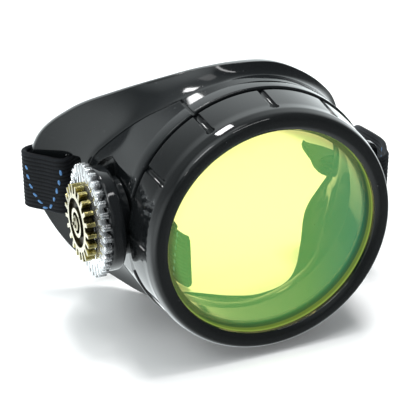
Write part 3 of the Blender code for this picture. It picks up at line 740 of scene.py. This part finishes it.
def makeLens(name, look):
    made, tree, shader = plainShader(name)
    place = objectPlace(tree)
    setInputs(shader, {"Base Color": (*look["through"], 1), "Transmission Weight": 1.0, "IOR": look["ior"],
                       "Specular IOR Level": look["level"]})
    split = splitNode(tree, place)
    radius = radiusNode(tree, split["X"], split["Z"])
    # Painted reflection and painted edge highlight, both drawn as emission by the radius from the lens's
    # middle
    line = rangeNode(tree, radius, look["edgeLine"][0] * mm, look["edgeLine"][1] * mm)
    faded = rangeNode(tree, radius, look["fade"][0] * mm, look["fade"][1] * mm, 1.0, look["fade"][2])
    aside = rangeNode(tree, split["X"], look["coolFrom"][0] * mm, look["coolFrom"][1] * mm)
    paintedGlow = mixColour(tree, aside, look["paintedGlow"], look["cool"])
    link(tree, mixColour(tree, line, paintedGlow, look["paintedEdgeHighlight"]), shader.inputs["Emission Color"])
    link(tree, mathNode(tree, "ADD", faded, line), shader.inputs["Emission Strength"])
    smears = noiseNode(tree, place, *look["smears"])
    link(tree, rangeNode(tree, smears, *look["smearRange"], *look["rough"]), shader.inputs["Roughness"])
    return made


dressNode("tint_lens", makeLens("lensTint", lensLook))


rubberLook = {"colour": (0.018, 0.018, 0.018), "bloomed": (0.0324, 0.0324, 0.0324),
              "bloom": (180.0, 3.0, 0.5), "bloomRange": (0.4, 0.8), "roughRange": (0.3, 0.8),
              "rough": (0.55, 0.8), "grain": (2600.0, 4.0, 0.6), "grainBump": (0.4, 0.05 * mm)}


def makeRubber(name, look):
    made, tree, shader = plainShader(name)
    place = objectPlace(tree)
    bloom = noiseNode(tree, place, *look["bloom"])
    bloomed = rangeNode(tree, bloom, *look["bloomRange"])
    link(tree, mixColour(tree, bloomed, look["colour"], look["bloomed"]), shader.inputs["Base Color"])
    link(tree, rangeNode(tree, bloom, *look["roughRange"], *look["rough"]), shader.inputs["Roughness"])
    addBump(tree, shader, noiseNode(tree, place, *look["grain"]), look["grainBump"])
    return made


rubber = makeRubber("blackRubber", rubberLook)
gasketShape = {"outline": ((22.8, -2.3, 0.3), (25.0, -2.3, 0.3), (25.0, -3.5, 0.3),
                           (22.8, -3.5, 0.3))}
gasket = lathe("lensGasket", roundedOutline(gasketShape["outline"]), lensAxis)
smoothPiece(gasket, angle=40)
dressPiece(gasket, rubber, "cup", "gasket_rubber", "lens_gasket")
dressNode("vent_seal", rubber, angle=60)
print("lens and gasket made")


# Vent knob and its stem
knobShape = {
    "outline": ((1.4, 32.9, 0), (11.6, 32.9, 1.0), (11.6, 29.5, 1.0), (8.7, 29.5, 0.15), (8.7, 27.3, 0.2),
                (7.3, 27.3, 0), (7.3, 28.8, 0), (5.5, 28.8, 0), (5.5, 27.3, 0), (4.6, 27.3, 0),
                (4.6, 30.8, 0), (1.4, 30.8, 0)),
}
knob = lathe("ventKnob", roundedOutline(knobShape["outline"], steps=6), ventAxis)
smoothPiece(knob, angle=35)
dressPiece(knob, knobPlastic, "knob", "knob_plastic", "vent_knob")
dressNode("snap_stem", knobPlastic)


# Toothed discs: chrome behind, antiqued brass in front; lengths in mm
chromeShape = {
    "teeth": 30, "root": 9.8, "tip": 12.6, "hole": 1.4, "from": 33.2, "thick": 1.8, "edge": 0.12,
    "land": 0.54, "uneven": 0.12,
    # Half a tooth from its middle prong outwards: share of the height, share of the half width
    "prongs": ((1.0, 0.0), (0.99, 0.17), (0.93, 0.25), (0.46, 0.31), (0.40, 0.42), (0.46, 0.53), (0.88, 0.58),
               (0.95, 0.72), (0.92, 0.88), (0.80, 0.97), (0.30, 1.0), (0.0, 0.96)),
}
brassShape = {
    "teeth": 21, "root": 6.6, "tip": 8.6, "hole": 1.4, "from": 35.3, "thick": 2.0, "edge": 0.14,
    "land": 0.50, "uneven": 0.05,
    "prongs": ((1.0, 0.0), (1.0, 0.45), (0.96, 0.68), (0.86, 0.80), (0.30, 0.94), (0.06, 1.0), (0.0, 1.2)),
    "annulus": (3.3, 5.5), "eye": 2.4, "relief": 0.8, "cutterTop": 40.0, "cutterEdge": 0.1,
}


def toothedOutline(shape):
    outline = []
    pitch = 2 * math.pi / shape["teeth"]
    half = pitch * shape["land"] / 2
    deep = shape["tip"] - shape["root"]
    for tooth in range(shape["teeth"]):
        middle = tooth * pitch
        shift = shape["uneven"] * noise.noise(Vector((tooth * 1.7, 3.1, 0.4)))  # same teeth each run
        side = [(shape["root"] + deep * high, half * wide) for high, wide in shape["prongs"]]
        for r, a in [(r, -a) for r, a in reversed(side)] + side[1:]:
            if r > shape["root"]:
                r = min(shape["tip"], r + shift * (r - shape["root"]) / deep)
            outline.append((r * math.cos(middle + a), r * math.sin(middle + a)))
    return outline


def circle(radius, count=96):
    return [(radius * math.cos(2 * math.pi * k / count), radius * math.sin(2 * math.pi * k / count))
            for k in range(count)]


def buildToothed(name, shape):
    stand = ventAxis @ Matrix.Translation((0, 0, shape["from"] * mm))
    outlines = [toothedOutline(shape), circle(shape["hole"])]
    return plate(name, outlines, shape["thick"], stand, shape["edge"], 1)


def makeChrome(name, look):
    made, tree, shader = plainShader(name)
    place = objectPlace(tree)
    haze = noiseNode(tree, place, *look["haze"])
    hazy = rangeNode(tree, haze, *look["hazeRange"])
    link(tree, mixColour(tree, hazy, look["colour"], look["dull"]), shader.inputs["Base Color"])
    shader.inputs["Metallic"].default_value = look["metal"]
    link(tree, rangeNode(tree, haze, *look["roughRange"], *look["rough"]), shader.inputs["Roughness"])
    addBump(tree, shader, noiseNode(tree, place, *look["dents"]), look["dentBump"], look["edge"])
    return made


def makeAntique(name, look):
    # Cream on the worn faces, gold down the sides, brown in the recesses
    made, tree, shader = plainShader(name)
    place = objectPlace(tree)
    split = splitNode(tree, place)
    facing = splitNode(tree, tree.nodes.new("ShaderNodeTexCoord").outputs["Normal"])
    radius = radiusNode(tree, mathNode(tree, "SUBTRACT", split["Y"], ventCentre * mm), split["Z"])
    grime = noiseNode(tree, place, *look["grime"])
    # Down in the face's recesses, and at the feet of the teeth
    top, root = look["top"], look["root"]
    sunk = rangeNode(tree, split["X"], -top * mm, (look["sunk"] - top) * mm)
    inside = rangeNode(tree, radius, root * mm, (root - look["inside"]) * mm)
    foot = rangeNode(tree, radius, (root + look["foot"][0]) * mm, (root + look["foot"][1]) * mm)
    front = rangeNode(tree, facing["X"], *look["front"])
    dirty = mathNode(tree, "MAXIMUM", mathNode(tree, "MULTIPLY", sunk, inside),
                     mathNode(tree, "MULTIPLY", foot, mathNode(tree, "SUBTRACT", 1.0, front)))
    dirty = mathNode(tree, "ADD", dirty, rangeNode(tree, grime, *look["grimeRange"]))
    dirty.node.use_clamp = True
    tops = mixColour(tree, front, look["gold"], look["cream"])
    link(tree, mixColour(tree, dirty, tops, look["brown"]), shader.inputs["Base Color"])
    shader.inputs["Metallic"].default_value = 1.0
    link(tree, rangeNode(tree, dirty, 0.0, 1.0, *look["rough"]), shader.inputs["Roughness"])
    addBump(tree, shader, noiseNode(tree, place, *look["streaks"]), look["streakBump"], look["edge"])
    return made


chromeLook = {
    "colour": (0.96, 0.97, 0.98), "dull": (0.84, 0.86, 0.88), "metal": 0.86,
    "haze": (700.0, 3.0, 0.6), "hazeRange": (0.35, 0.8), "roughRange": (0.3, 0.8), "rough": (0.06, 0.20),
    "dents": (1800.0, 2.0, 0.5), "dentBump": (0.25, 0.05 * mm), "edge": 0.10 * mm,
}
brassLook = {
    "cream": (0.74, 0.69, 0.51), "gold": (0.46, 0.40, 0.16), "brown": (0.030, 0.024, 0.012),
    # Where the grime lies, in mm: under the top face, inside the root circle, up the teeth
    "top": 37.3, "root": 6.6, "sunk": 0.45, "inside": 0.3, "foot": (1.1, 0.2), "front": (-0.35, -0.8),
    "grime": (900.0, 4.0, 0.65), "grimeRange": (0.45, 0.75, -0.1, 0.35), "rough": (0.26, 0.55),
    "streaks": (2200.0, 3.0, 0.6), "streakBump": (0.35, 0.05 * mm), "edge": 0.10 * mm,
}
hubLook = dict(brassLook, top=37.9, root=1.7)

chrome = buildToothed("chromeDisc", chromeShape)
smoothPiece(chrome)
dressPiece(chrome, makeChrome("chromePlate", chromeLook), "knob", "chrome", "chrome_gear")


def buildBrass(shape):
    disc = buildToothed("brassDisc", shape)
    low = shape["from"] + shape["thick"] - shape["relief"]
    top = shape["cutterTop"]
    edge = shape["cutterEdge"]
    inner, outer = shape["annulus"]
    eye = shape["eye"]
    groove = ((inner, low, edge), (inner, top, 0), (outer, top, 0), (outer, low, edge))
    dish = ((0, low, 0), (0, top, 0), (eye, top, 0), (eye, low, edge))
    for label, outline in (("brassAnnulus", groove), ("brassEye", dish)):
        carve(disc, lathe(label, roundedOutline(outline), ventAxis, columns=96), "DIFFERENCE")
    smoothPiece(disc)
    return disc


brass = buildBrass(brassShape)
dressPiece(brass, makeAntique("agedBrass", brassLook), "knob", "antique_brass", "brass_gear")
dressNode("gear_rivet", makeAntique("rivetBrass", hubLook), angle=30, rounding=0.08 * mm)
print("knob and toothed discs made")


# Webbing: ribbed strips along their routes, in mm
strapShape = {
    "width": 14.0, "thick": 1.2, "ribs": 15, "ribDeep": 0.17, "perRib": 6, "step": 0.8,
    "edge": 0.45, "edgeThin": 0.25, "wave": 0.05, "waveAlong": 0.12, "waveAcross": 0.25,
    "cutReach": 9.0,  # how far in from its start the cut of a tail is felt
}
templeStrap = {
    "tail": ((-7.0, 0.9), (-6.4, 0.25), (-5.6, 0.0), (5.6, 0.0), (6.4, 0.25), (7.0, 0.9)),
    "route": ((-7.0, 31.485, -21.97), (-8.26, 34.6, -21.97), (-10.5, 39.52, -20.52), (-15.54, 43.24, -14.5),
              (-21.56, 44.32, -7.58), (-26.6, 43.24, -2.01), (-30.72, 40.9, 0.0), (-33.14, 38.8, 0.0),
              (-35.19, 38.33, 0.0), (-38.05, 41.29, 0.0), (-41.23, 44.57, 0.0), (-41.46, 46.48, 0.0),
              (-40.31, 47.85, 0.0), (-37.45, 48.36, 0.0), (-34.22, 50.06, -1.34),
              (-29.58, 55.44, -5.35), (-24.94, 61.6, -11.15), (-21.46, 69.44, -16.95), (-19.43, 78.4, -22.3),
              (-18.85, 88.48, -22.3), (-18.85, 96.88, -22.3)),
}
noseStrap = {
    # The end lies twisted flat and is cut wavy: place across the strap, and how much is cut away there
    "tail": ((-7.0, 5.0), (-6.2, 4.2), (-4.2, 3.4), (-2.2, 2.9), (0.2, 2.1), (1.4, 1.2), (2.6, 0.5),
             (4.6, 0.0), (6.0, 0.2), (7.0, 1.0)),
    # A fourth number is the strap's twist there in degrees
    "route": ((23.0, 32.0, -0.4, 106.0), (27.0, 33.6, -1.0, 104.0), (30.8, 33.2, -2.4, 72.0),
              (32.8, 24.5, -4.46), (34.48, 21.0, -4.46), (36.56, 19.92, -4.46), (39.42, 21.48, -4.46),
              (40.74, 24.5, -4.68),
              (42.92, 30.24, -4.91), (43.4, 40.32, -6.24), (46.9, 50.4, -11.15), (53.0, 61.6, -18.4, -8.0),
              (57.6, 73.92, -22.0, -22.0), (59.4, 84.0, -22.0, -30.0), (59.9, 95.2, -22.0, -30.0)),
}
backStrap = {
    "tail": ((-7.0, 0.2), (-6.5, 0.0), (6.5, 0.0), (7.0, 0.2)),
    "route": ((-20.47, 85.12, -22.3), (-20.47, 96.32, -22.3), (-19.72, 100.8, -22.3), (-16.53, 103.6, -22.3),
              (-13.05, 99.68, -22.3), (-12.18, 90.72, -22.3), (-11.6, 81.76, -22.3), (-8.12, 77.28, -22.3),
              (-4.64, 81.76, -22.3), (-4.06, 91.84, -22.3), (-2.9, 101.92, -22.3), (1.16, 108.08, -21.41),
              (6.96, 111.44, -19.85), (14.41, 112.0, -19.1), (20.13, 112.0, -19.1), (25.85, 112.0, -19.1),
              (31.57, 112.0, -19.1), (37.29, 112.0, -19.1), (43.01, 112.0, -19.1), (51.6, 110.6, -20.07),
              (58.0, 105.4, -21.0, 14.0), (61.2, 96.9, -21.2, 28.0), (61.1, 89.6, -21.2, 30.0),
              (60.7, 82.88, -21.2, 30.0)),
}


def evenRoute(points, step):
    # Even samples along a smooth curve through the route's points, with the strap's twist in degrees
    fine = smoothLine([(*point, 0.0)[:4] for point in points], steps=24)
    places = [Vector(point[:3]) for point in fine]
    lengths = [0.0]
    for a, b in zip(places, places[1:]):
        lengths.append(lengths[-1] + (b - a).length)
    count = max(2, round(lengths[-1] / step))
    samples = []
    k = 0
    for i in range(count + 1):
        want = lengths[-1] * i / count
        while k < len(fine) - 2 and lengths[k + 1] < want:
            k += 1
        share = (want - lengths[k]) / max(lengths[k + 1] - lengths[k], 1e-9)
        twist = fine[k][3] + (fine[k + 1][3] - fine[k][3]) * share
        samples.append((places[k].lerp(places[k + 1], share), want, twist))
    return samples


def strapFrames(points, step):
    samples = evenRoute(points, step)
    frames = []
    for k, (point, along, twist) in enumerate(samples):
        beyond = samples[min(k + 1, len(samples) - 1)][0]
        tangent = (beyond - samples[max(k - 1, 0)][0]).normalized()
        across = (Vector((0, 0, 1)) - tangent * tangent.z).normalized()
        across = Matrix.Rotation(math.radians(twist), 3, tangent) @ across
        frames.append((point, across, tangent.cross(across).normalized(), along))
    return frames


def frameAt(frames, along):
    # Place, across, normal between two frames
    step = frames[1][3] - frames[0][3]
    k = min(int(along / step), len(frames) - 2)
    share = along / step - k
    return tuple(a.lerp(b, share) for a, b in zip(frames[k][:3], frames[k + 1][:3]))


def buildStrap(name, look, shape, material, slot, node):
    half = shape["width"] / 2
    thick = shape["thick"] / 2
    columns = shape["ribs"] * shape["perRib"]
    points = []
    alongs = []
    acrosses = []
    frames = strapFrames(look["route"], shape["step"])
    for *_, start in frames:
        for side in (1, -1):
            for i in range(columns + 1):
                w = (-half + shape["width"] * i / columns) * side
                cut = valueAt(look["tail"], w)
                along = start + cut * max(0, 1 - start / shape["cutReach"])
                point, across, normal = frameAt(frames, along)
                edge = min(1.0, (half - abs(w)) / shape["edge"])
                rounding = math.sqrt(max(0.0, 1 - (1 - edge)**2))
                rib = abs(math.sin(math.pi * (w + half) / shape["width"] * shape["ribs"]))
                ripple = Vector((along * shape["waveAlong"], w * shape["waveAcross"], half))
                h = (thick - shape["ribDeep"] * (1 - rib)) * max(rounding, shape["edgeThin"]) * side
                points.append(point + across * w + normal * (h + shape["wave"] * noise.noise(ripple)))
                alongs.append(along)
                acrosses.append(w)
    mesh = meshFrom(name, points, tubeFaces(len(frames), 2 * (columns + 1)))
    for label, values in (("alongStrap", alongs), ("acrossStrap", acrosses)):
        mesh.attributes.new(label, "FLOAT", "POINT").data.foreach_set("value", values)
    turnOutwards(mesh)
    strap = addObject(name, mesh)
    smoothPiece(strap, angle=75)
    dressPiece(strap, material, "cup", slot, node)
    return frames


def makeWebbing(name, look):
    made, tree, shader = plainShader(name)
    place = objectPlace(tree)
    along = mathNode(tree, "MULTIPLY", attributeNode(tree, "alongStrap"), look["picks"])
    picks = mathNode(tree, "MULTIPLY", mathNode(tree, "SINE", along), look["pickDeep"])
    across = mathNode(tree, "ADD", attributeNode(tree, "acrossStrap"), strapShape["width"] / 2)
    ribTurn = mathNode(tree, "MULTIPLY", across, math.pi * strapShape["ribs"] / strapShape["width"])
    rib = mathNode(tree, "ABSOLUTE", mathNode(tree, "SINE", ribTurn))
    fuzz = noiseNode(tree, place, *look["fuzz"])
    shade = noiseNode(tree, place, *look["shade"])
    fuzzShare, shadeShare = look["shares"]
    tone = mathNode(tree, "ADD", mathNode(tree, "MULTIPLY", fuzz, fuzzShare),
                    mathNode(tree, "MULTIPLY", shade, shadeShare))
    # Painted shade: the colour goes dark down the grooves between the ribs, over a tone that differs at
    # random
    wearAndRibShade = mathNode(tree, "MULTIPLY", rangeNode(tree, tone, *look["toneRange"]), rib)
    link(tree, mixColour(tree, wearAndRibShade, look["dark"], look["light"]), shader.inputs["Base Color"])
    setInputs(shader, {"Roughness": look["rough"], "Specular IOR Level": look["level"],
                       "Sheen Weight": look["sheen"], "Sheen Roughness": look["sheenRough"],
                       "Sheen Tint": (*look["sheenTint"], 1)})
    addBump(tree, shader, mathNode(tree, "ADD", picks, fuzz), look["bump"])
    return made


webbingLook = {
    "dark": (0.0008, 0.0010, 0.0018), "light": (0.013, 0.016, 0.021), "rough": 0.75, "level": 0.3,
    "sheen": 0.04, "sheenRough": 0.4, "sheenTint": (0.5, 0.6, 0.8), "picks": 9.0, "pickDeep": 0.15,
    "fuzz": (1500.0, 3.0, 0.7), "shade": (60.0, 3.0, 0.5), "shares": (0.6, 0.4),
    "toneRange": (0.35, 0.7, 0.3, 1.0), "bump": (0.6, 0.08 * mm),
}
strapCloth = makeWebbing("ribbedWebbing", webbingLook)
templeFrames = buildStrap("templeStrap", templeStrap, strapShape, strapCloth, "temple_fabric",
                          "temple_webbing")
noseFrames = buildStrap("noseStrap", noseStrap, strapShape, strapCloth, "nose_fabric", "nose_webbing")
buildStrap("backStrap", backStrap, strapShape, strapCloth, "elastic_fabric", "back_elastic")

# Stitches: each spot is how far along the strap and across it
stitchShape = {"long": 1.5, "wide": 0.60, "high": 0.34, "rings": 8, "spokes": 8, "sink": 0.04,
               "endSwell": 0.02, "dip": 0.12, "lean": 18.0}
templeStitches = ((53.95, 3.4), (53.7, 1.1), (53.1, -1.2), (52.2, -3.2), (51.0, -4.8), (49.7, -6.1),
                  (48.1, -5.4), (47.1, -3.3), (46.3, -1.1), (45.7, 1.2), (45.3, 3.6))
tailStitches = ((4.3, 6.2), (4.4, 4.4), (4.5, 2.5), (4.5, 0.5), (4.5, -1.5), (4.5, -3.6), (4.5, -5.6))
noseStitches = ((32.9, 5.9), (33.1, 3.6), (33.0, 1.3), (32.6, -1.0), (32.0, -3.2))
lapShape = {"rows": 2, "first": 97.0, "rowGap": 3.2, "dashes": 7, "from": -5.4, "gap": 1.8}
lapStitches = tuple((lapShape["first"] + lapShape["rowGap"] * row, lapShape["from"] + lapShape["gap"] * k)
                    for row in range(lapShape["rows"]) for k in range(lapShape["dashes"]))


def addStitches(name, frames, spots, shape, strap, material, slot):
    # Each dash is a short thread that dips into the cloth at both ends
    points = []
    faces = []
    for k, (along, w) in enumerate(spots):
        place, across, normal = frameAt(frames, along)
        tangent = across.cross(normal).normalized()
        before = spots[max(k - 1, 0)]
        after = spots[min(k + 1, len(spots) - 1)]
        run = (tangent * (after[0] - before[0]) + across * (after[1] - before[1])).normalized()
        outward = -normal
        run = Matrix.Rotation(math.radians(shape["lean"]), 3, outward) @ run
        aside = outward.cross(run).normalized()
        middle = place + across * w + outward * (strap["thick"] / 2 - shape["sink"])
        first = len(points)
        for i in range(shape["rings"] + 1):
            t = -1 + 2 * i / shape["rings"]
            swell = math.sqrt(max(1 - t**2, shape["endSwell"]))
            for j in range(shape["spokes"]):
                a = 2 * math.pi * j / shape["spokes"]
                wide = math.cos(a) * swell * shape["wide"] / 2
                high = math.sin(a) * swell * shape["high"] / 2 - shape["dip"] * t**2
                points.append(middle + run * (t * shape["long"] / 2) + aside * wide + outward * high)
        faces += tubeFaces(shape["rings"] + 1, shape["spokes"], first)
    thread = addObject(name, meshFrom(name, points, faces))
    turnOutwards(thread.data)
    smoothPiece(thread, angle=70)
    dressPiece(thread, material, "cup", slot)


def makeThread(name, look):
    made, tree, shader = plainShader(name)
    place = objectPlace(tree)
    strands = noiseNode(tree, place, *look["strands"])
    tone = rangeNode(tree, strands, *look["toneRange"])
    link(tree, mixColour(tree, tone, look["dark"], look["light"]), shader.inputs["Base Color"])
    link(tree, rangeNode(tree, strands, *look["roughRange"], *look["rough"]), shader.inputs["Roughness"])
    shader.inputs["Sheen Weight"].default_value = look["sheen"]
    addBump(tree, shader, strands, look["bump"])
    return made


blueLook = {
    "light": (0.16, 0.38, 0.72), "dark": (0.05, 0.17, 0.42), "strands": (4200.0, 3.0, 0.7),
    "toneRange": (0.35, 0.7), "roughRange": (0.3, 0.7), "rough": (0.5, 0.75), "sheen": 0.2,
    "bump": (0.5, 0.04 * mm),
}
blackLook = dict(blueLook, light=(0.02, 0.024, 0.03), dark=(0.004, 0.005, 0.007))
blueThread = makeThread("blueThread", blueLook)
blackThread = makeThread("blackThread", blackLook)
for label, frames, spots, thread, slot in (
        ("templeStitches", templeFrames, templeStitches, blueThread, "temple_fabric"),
        ("tailStitches", templeFrames, tailStitches, blueThread, "temple_fabric"),
        ("noseStitches", noseFrames, noseStitches, blueThread, "nose_fabric"),
        ("lapStitches", templeFrames, lapStitches, blackThread, "temple_fabric")):
    addStitches(label, frames, spots, stitchShape, strapShape, thread, slot)
dressNode("strap_slider", knobPlastic, angle=30, rounding=0.1 * mm)
print("straps made")

print("scene finished")
